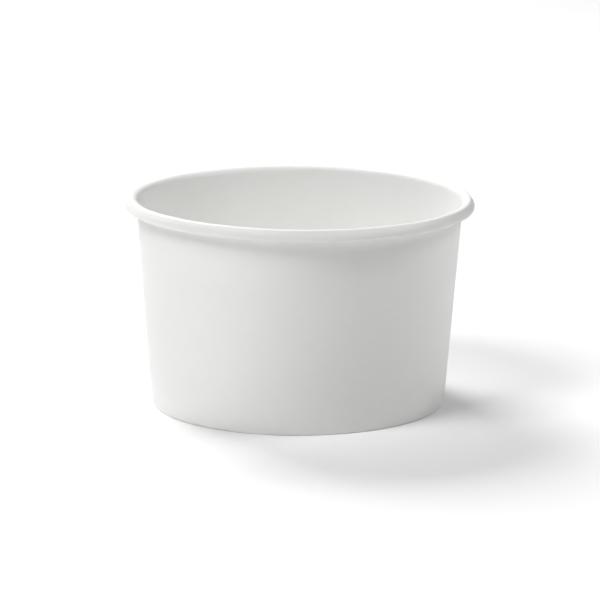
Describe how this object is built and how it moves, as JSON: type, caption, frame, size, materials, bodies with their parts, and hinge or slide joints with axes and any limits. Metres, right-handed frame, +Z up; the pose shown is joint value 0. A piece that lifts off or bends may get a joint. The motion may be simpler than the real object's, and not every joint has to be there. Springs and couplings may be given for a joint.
{
  "type": "paper sundae cup",
  "caption": "Short, wide, plain white paper cup with a rolled rim, a tapered wall with an overlapped side seam, and a recessed base disc held in a folded hem.",
  "frame": {"origin": "on the table, on the cup's axis", "axes": "+Z up along the cup's axis, from the folded foot to the rolled rim; the side seam is on the -X side"},
  "size_m": [0.096, 0.096, 0.0575],
  "materials": {
    "wall_board": "coated white paperboard, satin",
    "base_board": "coated white paperboard, satin"
  },
  "bodies": {
    "root": {"side_wall": "wall_board", "base_disc": "base_board"}
  },
  "joints": []
}
